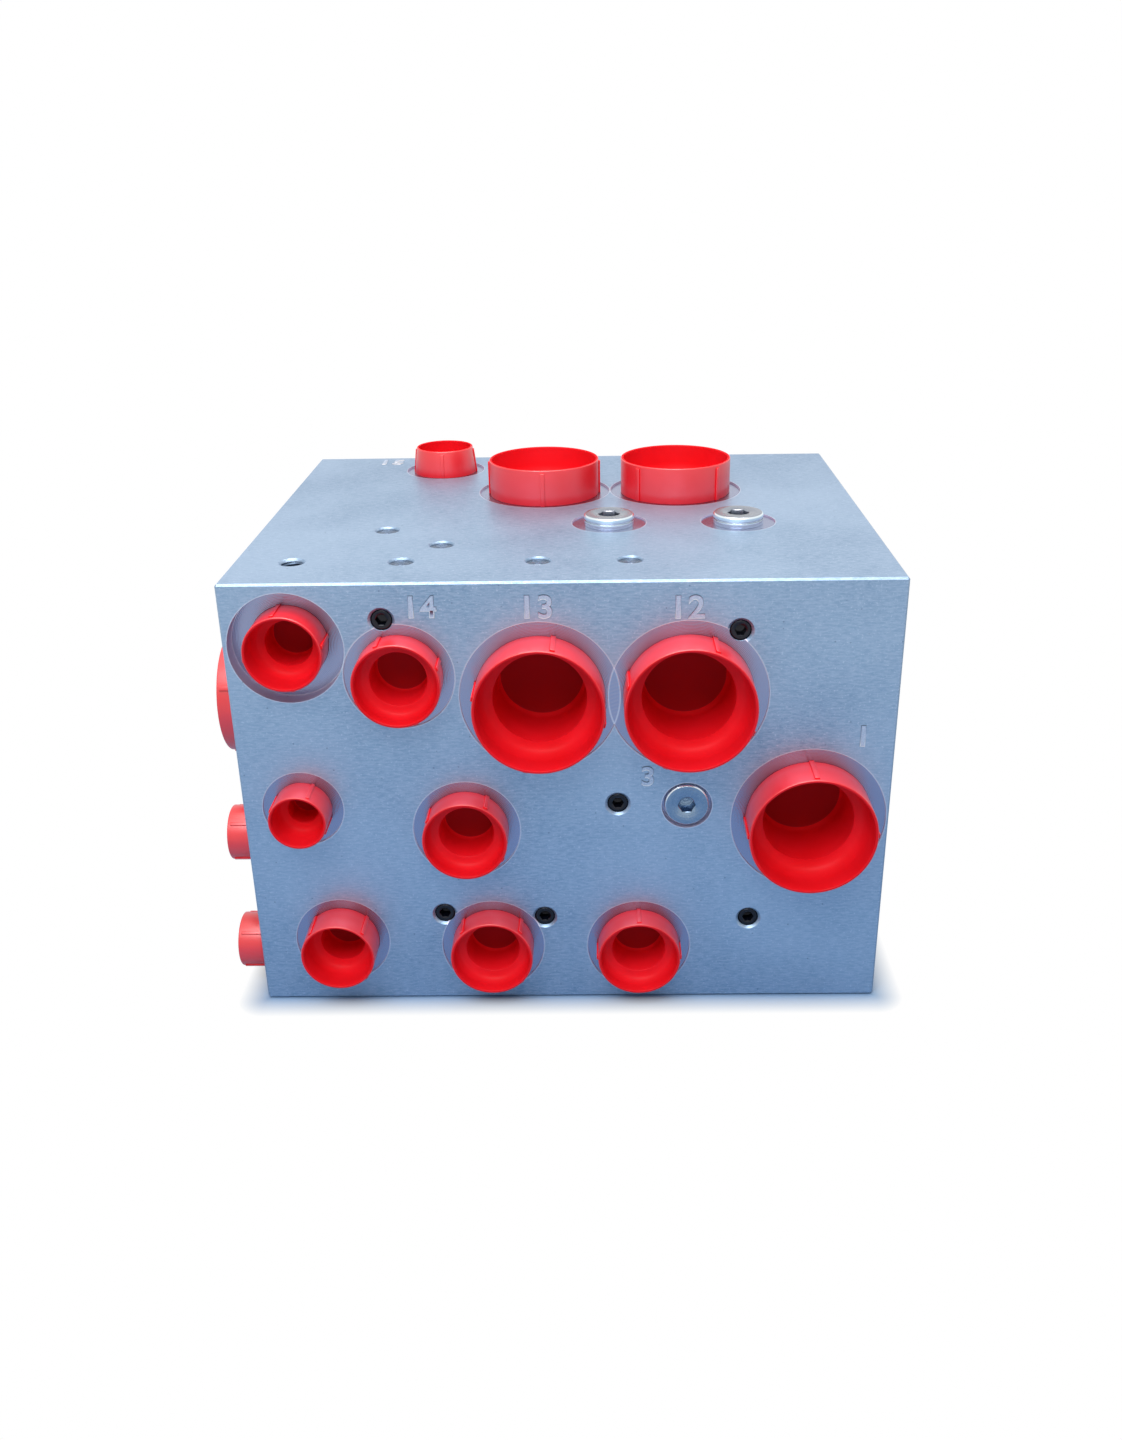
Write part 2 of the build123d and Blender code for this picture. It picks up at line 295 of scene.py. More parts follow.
def block_finish():
    """Milled aluminium with turned seats round the ports: fine grain, pits and a few long scratches. The
    seats' edges and side walls carry painted light, and the holes carry painted shade.
    """
    finish = new_finish("block_aluminium_milled")
    place = finish.place()
    surface = finish.surface()

    flats, facings = {}, {}
    for face, (_, _, out) in FACE_AXES.items():
        in_plane = Vector([1 - abs(part) for part in out])
        flats[face] = in_plane, finish.vector("MULTIPLY", place, in_plane)
        facings[face] = finish.dot(surface, out) > 0.9
    seated = painted_edge_highlight = wall = 0.0  # 1 on a turned seat, along its outer edge (painted highlight), and on its side wall (painted light)
    centre = (0, 0, 0)
    for node, (face, seat_r) in BLOCK_SEATS.items():
        in_plane, flat = flats[face]
        low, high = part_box(node)
        middle = (low + high) / 2 * in_plane
        gap = finish.vector("DISTANCE", flat, middle, output="Value") - seat_r * MM
        here = (gap < -0.05 * MM) * facings[face]
        near = finish.ramp(gap.math("ABSOLUTE"), 0.1 * MM, 0.45 * MM, 1.0, 0.0)
        outermost = finish.ramp(
            finish.dot(place, FACE_AXES[face][2]),
            block_reach(face) - SEAT_WALL_REACH * MM,
            block_reach(face) - (SEAT_WALL_REACH - 0.1) * MM,
        )
        seated = here + seated
        # Outer edges of the seats, which get a painted highlight.
        painted_edge_highlight = near * facings[face] + painted_edge_highlight
        # Side walls of the seats, which get painted light.
        wall = near * (1.0 - facings[face]) * outermost + wall
        centre = finish.vector("ADD", centre, finish.scaled(tuple(middle), here))
    spoke = finish.vector("SUBTRACT", place, centre)
    across_seat = finish.vector(
        "SUBTRACT", spoke, finish.scaled(surface, finish.dot(spoke, surface))
    )
    ring_r = finish.length(across_seat)
    radial = finish.vector("NORMALIZE", across_seat)

    streaks = finish.mapped(place, scale=(0.22, 1.0, 1.0))
    grain = finish.noise(streaks, 0.8, detail=4.0, roughness=0.75)
    speck = finish.ramp(finish.noise(place, 0.9, detail=2.0), 0.60, 0.72)
    blotch = finish.noise(place, 14.0, detail=4.0, roughness=0.6)
    cloud = finish.noise(place, 70.0, detail=2.0)
    pits = finish.ramp(finish.cells(place, 6.0), 0.035, 0.07, 1.0, 0.0)
    strokes = finish.mapped(place, rotation=(0.0, 0.66, 0.0), scale=(1.0, 1.0, 0.03))
    scratches = finish.ramp(finish.cells(strokes, 2.6), 0.02, 0.05, 1.0, 0.0)
    scratches = scratches * finish.ramp(blotch, 0.5, 0.65)

    depth = None  # below the nearest face of the block
    for face, (_, _, out) in FACE_AXES.items():
        below = block_reach(face) - finish.dot(place, out)
        depth = below if depth is None else depth.math("MINIMUM", below)
    # Painted shade: surfaces more than 0.25 mm below the nearest face, off the seats and their walls, are
    # darkened.
    painted_hole_shade = finish.ramp(depth, 0.25 * MM, 1.6 * MM) * (1.0 - (wall + seated).clamped())

    rough_skin = 1.0 - seated
    colour = finish.blend(finish.ramp(cloud, 0.35, 0.65), srgb(120, 150, 180), srgb(146, 173, 200))
    colour = finish.blend(finish.ramp(blotch, 0.35, 0.65) * 0.25, colour, srgb(160, 182, 208))
    colour = finish.blend(finish.ramp(grain, 0.40, 0.60) * 0.45, colour, srgb(182, 202, 224))
    colour = finish.blend((speck * 0.35).clamped(), colour, srgb(206, 222, 240))
    colour = finish.blend(seated, colour, srgb(146, 154, 184))
    # Painted light: the seats' side walls are painted a light, pinkish tone.
    colour = finish.blend(wall.clamped(), colour, srgb(214, 206, 226))
    # Painted shade inside the holes.
    colour = finish.blend(painted_hole_shade * 0.8, colour, srgb(52, 68, 90))
    # Painted highlight along the seats' outer edges.
    colour = finish.blend((painted_edge_highlight * 0.5).clamped(), colour, srgb(224, 226, 240))
    colour = finish.blend((pits * rough_skin * 0.5).clamped(), colour, srgb(84, 104, 134))
    colour = finish.blend((scratches * rough_skin * 0.45).clamped(), colour, srgb(196, 212, 232))
    roughness = 0.34 + 0.14 * grain * rough_skin + 0.05 * blotch - 0.13 * seated
    metal = 0.78 + 0.17 * seated

    ring_wave = (ring_r * (FULL_TURN / (RING_PERIOD * MM))).sine() * seated * 0.09
    turned_normal = finish.vector(
        "NORMALIZE", finish.vector("ADD", surface, finish.scaled(radial, ring_wave))
    )
    height = (grain + speck * 0.5 - pits * 1.5 - scratches) * (0.15 + 0.85 * rough_skin)
    normal = finish.bump(height, 0.03, strength=0.5, normal=turned_normal)
    return finish.principled(
        Base_Color=colour, Metallic=metal, Roughness=roughness, Normal=normal
    )


def cap_finish():
    """Bright red moulded plastic with a soft sheen, and painted shade on the floor of the blind bore."""
    finish = new_finish("cap_red_moulded")
    place = finish.place()
    cloud = finish.noise(place, 18.0)
    skin = finish.noise(place, 0.9, detail=3.0)
    lift = finish.attribute("lift", "Fac")
    radial = finish.vector("NORMALIZE", finish.attribute("spoke"))
    outward = finish.dot(finish.surface(), radial)
    colour = finish.blend(finish.ramp(cloud, 0.3, 0.7), srgb(238, 12, 26), srgb(248, 22, 38))
    # Painted shade: the floor deep in the blind bore is painted a darker red.
    painted_bore_shade = (outward.math("ABSOLUTE") < 0.4) * finish.ramp(lift, -0.004, -0.010)
    colour = finish.blend(painted_bore_shade, colour, srgb(170, 8, 20))
    roughness = 0.36 + 0.08 * skin + finish.ramp(outward, 0.1, 0.5, 0.26, 0.0)
    gloss = finish.ramp(lift, -0.002, 0.004) * finish.ramp(outward, 0.1, 0.5, 0.07, 1.0)
    normal = finish.bump(skin, 0.01, strength=0.25)
    return finish.principled(
        Base_Color=colour,
        Roughness=roughness,
        Normal=normal,
        Specular_IOR_Level=0.15,
        Coat_Weight=gloss,
        Coat_Roughness=0.4,
        Coat_IOR=1.9,
        Subsurface_Weight=0.06,
        Subsurface_Radius=(0.0015, 0.0003, 0.0003),
        Subsurface_Scale=1.0,
    )


def black_finish():
    """Black oxide steel with an oily gloss."""
    finish = new_finish("plug_black_oxide_oiled")
    place = finish.place()
    skin = finish.noise(place, 0.4, detail=3.0)
    colour = finish.blend(finish.ramp(skin, 0.3, 0.7), srgb(9, 11, 20), srgb(24, 28, 42))
    return finish.principled(
        Base_Color=colour,
        Metallic=0.4,
        Roughness=0.12 + 0.12 * skin,
        Normal=finish.bump(skin, 0.01, strength=0.3),
    )


def turned_metal(name, face, side, base_roughness, ring, lean):
    """Turned metal: rings round the piece's own axis tilt its faces a little in and out. The faces across
    the axis take the darker face colour and the sides the lighter side colour: painted shade and painted
    light on one metal.
    """
    finish = new_finish(name)
    spoke = finish.attribute("spoke")
    surface = finish.surface()
    radial = finish.vector("NORMALIZE", spoke)
    skin = finish.noise(finish.place(), 0.6, detail=3.0)
    lying = finish.ramp(finish.dot(surface, radial), 0.15, 0.5, 1.0, 0.0)
    wave = (finish.length(spoke) * (FULL_TURN / (ring * MM))).sine() * lying * lean
    normal = finish.vector("NORMALIZE", finish.vector("ADD", surface, finish.scaled(radial, wave)))
    # Painted light and shade: dark on the faces across the axis, light on the sides.
    colour = finish.blend(lying, side, face)
    colour = finish.blend(finish.ramp(skin, 0.3, 0.7) * 0.12, colour, srgb(238, 246, 252))
    return finish.principled(
        Base_Color=colour,
        Metallic=1.0,
        Roughness=base_roughness + 0.1 * skin,
        Normal=finish.bump(skin, 0.006, strength=0.3, normal=normal),
    )


def rubber_finish():
    """Matt black rubber."""
    finish = new_finish("seal_rubber_black")
    place = finish.place()
    skin = finish.noise(place, 0.3, detail=3.0)
    colour = finish.blend(skin, srgb(20, 20, 22), srgb(38, 38, 40))
    return finish.principled(
        Base_Color=colour, Roughness=0.6 + 0.2 * skin, Normal=finish.bump(skin, 0.02, strength=0.4)
    )


def mark_finish(face):
    """Engraved figures: the strokes' rounded sides shade as the sides of a groove, with painted shade on
    their up-facing sides and a painted highlight on their down-facing sides.
    """
    finish = new_finish(f"engraved_figures_{face}")
    place = finish.place()
    out = FACE_AXES[face][2]
    surface = finish.surface()
    grain = finish.noise(place, 0.5, detail=3.0)
    mirrored = finish.scaled(finish.vector("REFLECT", surface, tuple(out)), -1.0)
    grooved = finish.vector("NORMALIZE", finish.vector("ADD", mirrored, tuple(out)))
    upward = finish.dot(surface, tuple(FACE_AXES[face][1]))
    colour = finish.blend(finish.ramp(grain, 0.3, 0.7), srgb(168, 186, 210), srgb(196, 210, 230))
    # Painted shade where a stroke's side faces up, painted highlight where it faces down.
    colour = finish.blend(finish.ramp(upward, 0.3, 0.8) * 0.7, colour, srgb(62, 80, 110))
    colour = finish.blend(finish.ramp(upward, -0.1, -0.5), colour, srgb(250, 252, 255))
    return finish.principled(
        Base_Color=colour, Metallic=0.55, Roughness=0.34 + 0.1 * grain,
        Normal=finish.bump(grain, 0.01, strength=0.3, normal=grooved),
    )


block_metal = block_finish()
cap_plastic = cap_finish()
black_oxide = black_finish()
# Face colour first, as painted shade; side colour second, as painted light.
zinc = turned_metal(
    "plug_zinc_turned", srgb(146, 152, 164), srgb(230, 242, 248),
    base_roughness=0.2, ring=1.1, lean=0.06,
)
dull_zinc = turned_metal(
    "plug_zinc_dull", srgb(118, 142, 168), srgb(222, 232, 240),
    base_roughness=0.2, ring=1.1, lean=0.06,
)
expander_metal = turned_metal(
    "expander_turned", srgb(62, 84, 112), srgb(170, 186, 204),
    base_roughness=0.12, ring=0.6, lean=0.5,
)
seal_rubber = rubber_finish()
mark_metals = {face: mark_finish(face) for face in ("front", "top")}

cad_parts["manifold_block"].data.materials.clear()
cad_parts["manifold_block"].data.materials.append(block_metal)


# ---------------------------------------------------------------- turned pieces
WELD = 1e-4  # millimetres
SMOOTH_BELOW = math.radians(32)  # faces that meet at less than this shade as one
BREAK_ABOVE = math.radians(35)  # edges at more than this are broken after a cut
COUNTERSINK = 0.577  # height of a countersink for each millimetre of its radius
DRILL_POINT = 0.5  # height of a drill's point for each millimetre of its radius
CUTTER_RISE = 2.0  # how far a cutter stands out above the face it cuts


def turned(outline, steps):
    """Turn a closed outline of (radius, height, corner rounding) about local Z."""
    solid = bmesh.new()
    corners = [solid.verts.new((radius, 0, height)) for radius, height, _ in outline]
    solid.faces.new(corners)
    for corner, (_, _, rounding) in zip(corners, outline):
        if rounding:
            bmesh.ops.bevel(
                solid, geom=[corner], offset=rounding, offset_type="OFFSET", segments=4,
                profile=0.5, material=-1, affect="VERTICES",
            )
    bmesh.ops.delete(solid, geom=solid.faces[:], context="FACES_ONLY")
    on_axis = [e for e in solid.edges if all(abs(v.co.x) < WELD for v in e.verts)]
    bmesh.ops.delete(solid, geom=on_axis, context="EDGES")
    bmesh.ops.spin(
        solid, geom=solid.verts[:] + solid.edges[:], cent=(0, 0, 0), axis=(0, 0, 1),
        dvec=(0, 0, 0), angle=FULL_TURN, steps=steps, use_merge=True,
    )
    bmesh.ops.remove_doubles(solid, verts=solid.verts[:], dist=WELD)
    bmesh.ops.recalc_face_normals(solid, faces=solid.faces[:])
    return solid


def bar(solid, length, width, height, place, edge):
    """Add a bar with rounded edges to a solid; place is its matrix, in millimetres."""
    made = bmesh.ops.create_cube(solid, size=1.0)["verts"]
    bmesh.ops.scale(solid, vec=(length, width, height), verts=made)
    edges = list({e for v in made for e in v.link_edges})
    rounded = bmesh.ops.bevel(
        solid, geom=edges, offset=edge, offset_type="OFFSET", segments=3, profile=0.5,
        material=-1, affect="EDGES", clamp_overlap=True,
    )
    moved = list({v for f in rounded["faces"] for v in f.verts} | {v for v in made if v.is_valid})
    bmesh.ops.transform(solid, matrix=place, verts=moved)


def settled(solid, name, seat, material):
    """Turn a solid in millimetres into an object on its seat."""
    mesh = bpy.data.meshes.new(name)
    for face in solid.faces:
        face.smooth = True
    solid.to_mesh(mesh)
    solid.free()
    mesh.transform(seat @ Matrix.Scale(MM, 4))
    mesh.materials.append(material)
    piece = bpy.data.objects.new(name, mesh)
    scene.collection.objects.link(piece)
    gauged(piece, seat)
    return piece


def gauged(piece, seat):
    """Mark sharp edges, and give each point its spoke from the seat's axis and its lift above the seat."""
    mesh = piece.data
    mesh.set_sharp_from_angle(angle=SMOOTH_BELOW)
    for name, kind in (("spoke", "FLOAT_VECTOR"), ("lift", "FLOAT")):
        if name not in mesh.attributes:
            mesh.attributes.new(name, kind, "POINT")
    spokes, lifts = mesh.attributes["spoke"].data, mesh.attributes["lift"].data
    centre, axis = seat.translation, seat.to_3x3() @ Vector((0, 0, 1))
    for vertex, spoke, lift in zip(mesh.vertices, spokes, lifts):
        offset = vertex.co - centre
        lift.value = offset.dot(axis)
        spoke.vector = offset - axis * lift.value


def baked_mesh(holder):
    """Mesh of an object with its modifiers or its lettering worked out."""
    bpy.context.view_layer.update()
    return bpy.data.meshes.new_from_object(
        holder.evaluated_get(bpy.context.evaluated_depsgraph_get())
    )


def carved(piece, cutters, seat, edge):
    """Cut the cutters out of a piece, break the edges by edge millimetres, and drop the cutters."""
    for cutter in cutters:
        cut = piece.modifiers.new("cut", "BOOLEAN")
        cut.operation = "DIFFERENCE"
        cut.solver = "EXACT"
        cut.object = cutter
    soft = piece.modifiers.new("edges", "BEVEL")
    soft.width = edge * MM
    soft.segments = 2
    soft.limit_method = "ANGLE"
    soft.angle_limit = BREAK_ABOVE
    mesh = baked_mesh(piece)
    piece.modifiers.clear()
    old = piece.data
    piece.data = mesh
    bpy.data.meshes.remove(old)
    for cutter in cutters:
        bpy.data.objects.remove(cutter)
    gauged(piece, seat)
    return piece


def hexagon_cutter(size, top, depth, mouth, seat):
    """Cutters for a hexagon socket below local height top: hexagon, countersink and drill point.

    The countersink reaches mouth millimetres past the hexagon's flats.
    """
    corner = size / math.sqrt(3)
    turn = Matrix.Rotation(FULL_TURN / 12, 4, "Z")
    socket = bmesh.new()
    bmesh.ops.create_cone(
        socket, cap_ends=True, segments=6, radius1=corner, radius2=corner, depth=depth + CUTTER_RISE,
        matrix=Matrix.Translation((0, 0, top + (CUTTER_RISE - depth) / 2)) @ turn,
    )
    reach = size / 2 + mouth + CUTTER_RISE / COUNTERSINK
    countersink = bmesh.new()
    bmesh.ops.create_cone(
        countersink, cap_ends=True, segments=64, radius1=0, radius2=reach, depth=reach * COUNTERSINK,
        matrix=Matrix.Translation((0, 0, top + CUTTER_RISE - reach * COUNTERSINK / 2)),
    )
    drill_r = size * 0.46
    point_r = drill_r * 1.1  # the point starts a little above the socket's floor
    drill = bmesh.new()
    bmesh.ops.create_cone(
        drill, cap_ends=True, segments=48, radius1=0, radius2=point_r, depth=point_r * DRILL_POINT,
        matrix=Matrix.Translation((0, 0, top - depth - drill_r * 0.45 * DRILL_POINT)),
    )
    cutters = {"socket_cutter": socket, "countersink_cutter": countersink, "drill_cutter": drill}
    return [settled(solid, name, seat, black_oxide) for name, solid in cutters.items()]


# ---------------------------------------------------------------- caps
@dataclass
class CapSize:
    """Sizes of one cap, in millimetres."""

    bore: float  # port that the shank fits
    head: float  # outside of the cup at its foot
    rim: float  # outside of the cup at its open end
    height: float  # of the cup
    wall: float
    shoulder: float  # thickness between the cup and the shank
    funnel: float  # width of the sloping ring inside the cup's foot
    shank_wall: float
    shank: float  # length
    rib: float  # width
    rib_out: float  # how far a rib stands out


LARGE = CapSize(39.2, 48.8, 48.8, 15.6, 1.2, 1.4, 3.2, 1.8, 24.0, 2.0, 0.7)
TALL = replace(LARGE, height=17.0)
MEDIUM = CapSize(25.0, 32.8, 32.8, 10.8, 1.2, 3.0, 2.2, 1.7, 13.0, 1.8, 0.6)
SMALL = CapSize(20.5, 29.2, 29.2, 13.6, 1.1, 1.2, 2.4, 1.2, 11.5, 1.6, 0.6)
TAPERED = CapSize(20.5, 29.4, 26.6, 12.2, 1.1, 1.2, 2.0, 1.2, 11.5, 1.6, 0.5)
MINI = CapSize(14.5, 22.2, 22.2, 12.6, 1.1, 1.2, 2.0, 1.3, 9.5, 1.5, 0.5)

CAPS = {  # face, size, turn of the first rib clockwise from the top of the face, degrees
    "cap_front_1": ("front", SMALL, -10),
    "cap_front_2": ("front", MEDIUM, -23),
    "cap_front_3": ("front", LARGE, 13),
    "cap_front_4": ("front", LARGE, 22),
    "cap_front_5": ("front", MINI, 25),
    "cap_front_6": ("front", MEDIUM, 31),
    "cap_front_7": ("front", LARGE, 0),
    "cap_front_8": ("front", SMALL, 45),
    "cap_front_9": ("front", MEDIUM, 45),
    "cap_front_10": ("front", MEDIUM, 0),
    "cap_top_1": ("top", TAPERED, 0),
    "cap_top_2": ("top", LARGE, 0),
    "cap_top_3": ("top", LARGE, 45),
    "cap_left_1": ("left", TALL, 64),
    "cap_left_2": ("left", MINI, 45),
    "cap_left_3": ("left", MINI, 45),
}
SHANK_FIT = 0.15
SHANK_CHAMFER = 0.8
RIM_ROUND = 0.45
FUNNEL_ROUND = 0.9  # share of the funnel's width
BORE_END_ROUND = 0.14  # share of the blind bore's radius
RIB_COUNT = 4
RIB_STOP = 1.2  # a rib ends this far below the rim
RIB_ROOT = 0.4  # a rib starts this far inside the cup's surface
RIB_EDGE = 0.25


def cap_outline(size):
    """Open cup above the shoulder and blind shank below it, with moulded radii."""
    head, rim = size.head / 2, size.rim / 2
    shank = size.bore / 2 - SHANK_FIT
    inner = shank - size.shank_wall
    lean = (head - rim) / size.height
    end = -size.shank
    wall_foot = size.shoulder + size.funnel
    wall_foot_r = head - size.wall - lean * wall_foot
    return [
        (0, end, 0),
        (shank - SHANK_CHAMFER, end, 0.3),
        (shank, end + SHANK_CHAMFER, 0.3),
        (shank, 0, 0),
        (head, 0, 0.25),
        (rim, size.height, RIM_ROUND),
        (rim - size.wall, size.height, RIM_ROUND),
        (wall_foot_r, wall_foot, size.funnel * FUNNEL_ROUND),
        (wall_foot_r - size.funnel, size.shoulder, size.funnel * FUNNEL_ROUND),
        (inner, size.shoulder, RIM_ROUND),
        (inner, end + size.shank_wall, inner * BORE_END_ROUND),
        (0, end + size.shank_wall, 0),
    ]


for cap, (face, size, turn) in CAPS.items():
    solid = turned(cap_outline(size), steps=112 if size.head > 40 else 88)
    rib_length = size.height - RIB_STOP
    lean = math.atan((size.head - size.rim) / 2 / size.height)
    for rib in range(RIB_COUNT):
        around = Matrix.Rotation(math.radians(90 - turn - 360 / RIB_COUNT * rib), 4, "Z")
        middle = (size.head + (size.rim - size.head) * rib_length / 2 / size.height) / 2
        place = around @ Matrix.Translation(
            (middle + (size.rib_out - RIB_ROOT) / 2, 0, rib_length / 2)
        ) @ Matrix.Rotation(-lean, 4, "Y")
        bar(solid, size.rib_out + RIB_ROOT, size.rib, rib_length, place, RIB_EDGE)
    name = cap.replace("cap", "moulded_cap")
    piece = settled(solid, name, seat_under(face, cap, size.height), cap_plastic)
    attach(piece, "root")
    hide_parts(cap)


# ---------------------------------------------------------------- pipe plugs
PLUG_R = 4.05
PLUG_END_R = 3.8
PLUG_LENGTH = 7.9
PLUG_END_CHAMFER = 0.4
PLUG_FACE_CHAMFER = 0.5
PLUG_HEXAGON = 4.0
PLUG_HEXAGON_DEPTH = 4.4
PLUG_MOUTH = 0.5
for index in range(1, 7):
    node = f"pipe_plug_{index}"
    solid = turned(
        [
            (0, -PLUG_LENGTH, 0),
            (PLUG_END_R - PLUG_END_CHAMFER, -PLUG_LENGTH, 0),
            (PLUG_END_R, -PLUG_LENGTH + PLUG_END_CHAMFER, 0),
            (PLUG_R, -PLUG_FACE_CHAMFER, 0.1),
            (PLUG_R - PLUG_FACE_CHAMFER, 0, 0.12),
            (0, 0, 0),
        ],
        steps=64,
    )
    seat = seat_under("front", node, 0)
    piece = settled(solid, f"socket_pipe_plug_{index}", seat, black_oxide)
    socket = hexagon_cutter(PLUG_HEXAGON, 0, PLUG_HEXAGON_DEPTH, PLUG_MOUTH, seat)
    piece = carved(piece, socket, seat, edge=0.08)
    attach(piece, "root")
    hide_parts(node)


# ---------------------------------------------------------------- flanged plugs
SEAL_EDGE = 1.1  # metal left outside the seal ring's groove
SEAL_WIDTH = 1.3
SEAL_HEIGHT = 1.2
FLANGE_CHAMFER = 0.5
FLANGE_GROOVE_DEPTH = 0.5
FLANGE_GROOVE_HALF = 0.25  # half of the groove's width
FLANGED_MOUTH = 0.8
FLANGED = {  # face, flange diameter and height, shank diameter and length, hexagon size and depth
    "flanged_plug_front": ("front", 17.3, 3.6, 10.4, 11.0, 6.0, 5.5),
    "flanged_plug_top_1": ("top", 20.6, 4.5, 14.3, 11.0, 8.0, 6.0),
    "flanged_plug_top_2": ("top", 20.6, 4.5, 14.3, 11.0, 8.0, 6.0),
}
for node, (face, flange_d, flange, shank_d, shank, hexagon_size, hexagon_depth) in FLANGED.items():
    flange_r, shank_r = flange_d / 2, shank_d / 2
    seal_r, seal_inner_r = flange_r - SEAL_EDGE, flange_r - SEAL_EDGE - SEAL_WIDTH
    groove_r = flange_r - FLANGE_GROOVE_DEPTH
    groove_low, groove_high = flange / 2 - FLANGE_GROOVE_HALF, flange / 2 + FLANGE_GROOVE_HALF
    solid = turned(
        [
            (0, flange, 0),
            (0, -shank, 0),
            (shank_r, -shank, 0.3),
            (shank_r, 0, 0),
            (seal_inner_r, 0, 0),
            (seal_inner_r, SEAL_HEIGHT, 0),
            (seal_r, SEAL_HEIGHT, 0),
            (seal_r, 0, 0),
            (flange_r, 0, 0.12),
            (flange_r, groove_low, 0.1),
            (groove_r, groove_low, 0.1),
            (groove_r, groove_high, 0.1),
            (flange_r, groove_high, 0.1),
            (flange_r, flange - FLANGE_CHAMFER, 0.15),
            (flange_r - FLANGE_CHAMFER, flange, 0.15),
        ],
        steps=96,
    )
    seat = seat_under(face, node, flange)
    metal = dull_zinc if face == "front" else zinc
    piece = settled(solid, node.replace("plug", "socket_plug"), seat, metal)
    socket = hexagon_cutter(hexagon_size, flange, hexagon_depth, FLANGED_MOUTH, seat)
    piece = carved(piece, socket, seat, edge=0.1)
    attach(piece, "root")
    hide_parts(node)
    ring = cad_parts[node.replace("flanged_plug", "seal_ring")]
    ring.data.materials.clear()
    ring.data.materials.append(seal_rubber)


# ---------------------------------------------------------------- expander plugs
SLEEVE_R = 4.5
SLEEVE_LENGTH = 8.5
SLEEVE_FLOOR = 1.6
SLEEVE_CHAMFER = 0.3
CORE_R = 2.9
CORE_END_R = 2.75
CORE_FIT = 0.02
core_length = SLEEVE_LENGTH - SLEEVE_FLOOR
for index in range(1, 6):
    sleeve_node, core_node = f"expander_sleeve_{index}", f"expander_core_{index}"
    seat = seat_under("top", sleeve_node, 0)
    sleeve = turned(
        [
            (CORE_R + CORE_FIT, 0, 0.08),
            (SLEEVE_R - SLEEVE_CHAMFER, 0, 0.12),
            (SLEEVE_R, -SLEEVE_CHAMFER, 0.1),
            (SLEEVE_R, -SLEEVE_LENGTH, 0),
            (0, -SLEEVE_LENGTH, 0),
            (0, -core_length, 0),
            (CORE_END_R + CORE_FIT, -core_length, 0),
        ],
        steps=72,
    )
    core_outline = [
        (0, 0, 0), (CORE_R, 0, 0.1), (CORE_END_R, -core_length, 0), (0, -core_length, 0)
    ]
    core = turned(core_outline, steps=64)
    pressed = (sleeve, "pressed_sleeve", sleeve_node), (core, "pressed_core", core_node)
    for solid, name, node in pressed:
        piece = settled(solid, f"{name}_{index}", seat, expander_metal)
        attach(piece, "root")
        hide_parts(node)


# ---------------------------------------------------------------- threads of the open holes
LIFTING_ACROSS, LIFTING_UP = 22.7, 26.2  # from the top face's front left corner
MOUNTING_ACROSS, MOUNTING_UP = 105.0, 60.0  # from the middle of the pattern
MOUNTING_MIDDLE = 15.0  # of the pattern, behind the block's centre
LIFTING = {"core": 8.5, "pitch": 1.5, "mouth": 0.95, "turns": 9}
MOUNTING = {"core": 10.2, "pitch": 1.75, "mouth": 1.0, "turns": 12}
THREAD_STEPS = 40  # for each turn
RIDGE_ROOT = 0.03  # how far the ridge starts inside the hole's wall
RIDGE_HEIGHT = 0.32
RIDGE_PROFILE = (0.36, 0.46, 0.82)  # ends of the crest and of the ridge, as shares of the pitch


def thread_ridge(core, pitch, mouth, turns):
    """Helical ridge that stands in from a hole's wall, from just under the hole's mouth."""
    solid = bmesh.new()
    wall, crest = core / 2 + RIDGE_ROOT, core / 2 - RIDGE_HEIGHT
    radii = (wall, crest, crest, wall)
    heights = (0, *(share * pitch for share in RIDGE_PROFILE))
    section = [
        solid.verts.new((radius, 0, -mouth - height)) for radius, height in zip(radii, heights)
    ]
    start = solid.faces.new(section)
    bmesh.ops.spin(
        solid, geom=[start], cent=(0, 0, 0), axis=(0, 0, 1), dvec=(0, 0, -pitch / THREAD_STEPS),
        angle=FULL_TURN * turns, steps=THREAD_STEPS * turns, use_duplicate=False,
    )
    bmesh.ops.recalc_face_normals(solid, faces=solid.faces[:])
    return solid


front_left = Vector((block_low.x, block_low.y, block_high.z))
lifting_place = front_left + Vector((LIFTING_ACROSS, LIFTING_UP, 0)) * MM
threads = {"lifting_thread": (LIFTING, "top", lifting_place)}
for side, x in (("left", -MOUNTING_ACROSS), ("right", MOUNTING_ACROSS)):
    for end, y in (("front", MOUNTING_MIDDLE - MOUNTING_UP), ("back", MOUNTING_MIDDLE + MOUNTING_UP)):
        mounting_place = Vector((x * MM, y * MM, block_low.z))
        threads[f"mounting_thread_{end}_{side}"] = (MOUNTING, "bottom", mounting_place)
for name, (hole, face, place) in threads.items():
    piece = settled(thread_ridge(**hole), name, seat_at(face, place), block_metal)
    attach(piece, "root")


